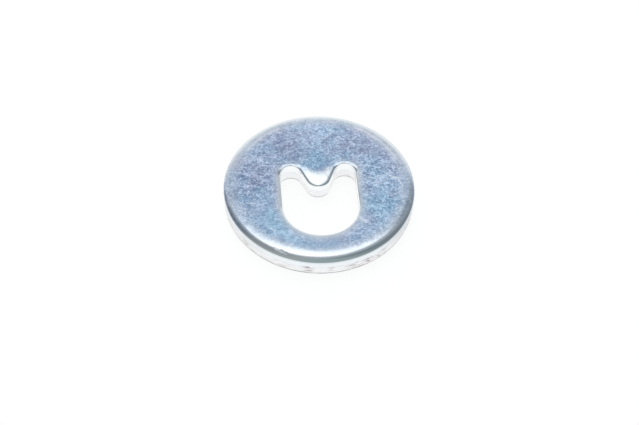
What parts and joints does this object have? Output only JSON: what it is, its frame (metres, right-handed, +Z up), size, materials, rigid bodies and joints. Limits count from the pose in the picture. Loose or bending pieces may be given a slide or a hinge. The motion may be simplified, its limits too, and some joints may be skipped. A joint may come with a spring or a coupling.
{
  "type": "keyed eccentric washer",
  "caption": "Round metal washer with an off-centre keyed hole: a half-round bolt seat, lobed corners and a blunt tooth, with rolled top edges.",
  "frame": {"origin": "middle of the disc on its lower flat face", "axes": "+Z up through the thickness to the face with the rolled edges, +Y from the bolt seat to the tooth of the hole"},
  "size_m": [0.036, 0.036, 0.0041],
  "materials": {
    "zinc_plate": "bright zinc plate with a bluish passivation, finely mottled from tumbling"
  },
  "bodies": {
    "root": {"eccentric_washer": "zinc_plate"}
  },
  "joints": []
}
